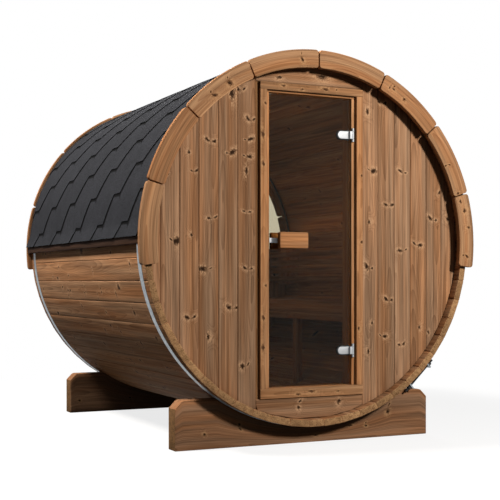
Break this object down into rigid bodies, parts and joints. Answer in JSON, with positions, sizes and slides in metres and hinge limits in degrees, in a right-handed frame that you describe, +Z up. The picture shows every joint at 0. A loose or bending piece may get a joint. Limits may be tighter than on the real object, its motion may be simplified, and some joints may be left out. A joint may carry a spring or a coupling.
{
  "type": "barrel sauna",
  "caption": "Horizontal barrel sauna of wooden staves on cradles, with a framed glass door, half-moon rear window, shingled roof and side bench.",
  "frame": {"origin": "on the ground under the middle of the barrel", "axes": "+Y along the barrel from the door to the rear window, +X to the right seen from the door, +Z up"},
  "size_m": [2.06, 2.176, 2.127],
  "materials": {
    "stave_wood": "planed heat-treated softwood, matt oil",
    "wall_wood": "planed heat-treated softwood boards, matt",
    "trim_wood": "planed heat-treated softwood, rounded edges",
    "casing_wood": "planed heat-treated softwood, matt",
    "post_wood": "planed heat-treated softwood, in shade",
    "cradle_wood": "planed impregnated timber, matt",
    "batten_wood": "dark stained batten",
    "bench_wood": "planed heat-treated softwood, bare",
    "shingle": "mineral-surfaced bitumen shingle, charcoal",
    "band_steel": "galvanised strip",
    "rod_steel": "dark zinc-plated thread",
    "hinge_metal": "satin chrome",
    "tinted_glass": "bronze tinted tempered glass",
    "window_glass": "clear tempered glass"
  },
  "bodies": {
    "barrel": {"cradle_front": "cradle_wood", "cradle_rear": "cradle_wood", "staves_bottom": "stave_wood", "staves_lower_left": "stave_wood", "staves_lower_right": "stave_wood", "staves_side_left": "stave_wood", "staves_side_right": "stave_wood", "staves_upper_left": "stave_wood", "staves_upper_right": "stave_wood", "staves_crown": "stave_wood", "band_front": "band_steel", "band_rear": "band_steel", "tensioner_front": "rod_steel", "tensioner_rear": "rod_steel", "trim_ring_front": "trim_wood", "trim_ring_rear": "trim_wood", "roof_shingles_left": "shingle", "roof_shingles_right": "shingle", "eave_battens": "batten_wood", "front_wall_left": "wall_wood", "front_wall_right": "wall_wood", "front_wall_over_door": "wall_wood", "front_wall_under_door": "wall_wood", "door_posts": "post_wood", "casing_left": "casing_wood", "casing_right": "casing_wood", "casing_head": "casing_wood", "casing_sill": "casing_wood", "jamb_lining": "casing_wood", "hinge_bracket_upper": "hinge_metal", "hinge_bracket_lower": "hinge_metal", "rear_wall_boards": "wall_wood", "rear_window_rail": "wall_wood", "rear_window_glass": "window_glass", "bench_seat": "bench_wood", "bench_apron": "bench_wood", "bench_legs": "bench_wood", "bench_bearers": "bench_wood", "bench_backrest": "bench_wood"},
    "door": {"door_glass": "tinted_glass", "hinge_clamp_upper": "hinge_metal", "hinge_clamp_lower": "hinge_metal", "handle_outer": "trim_wood", "handle_inner": "trim_wood", "latch_plate": "hinge_metal"}
  },
  "joints": [
    {"name": "door_hinge", "type": "hinge", "parent": "barrel", "child": "door", "pos_m": [0.263, -1.006, 0], "axis": [0, 0, 1], "range_deg": [0, 110]}
  ]
}
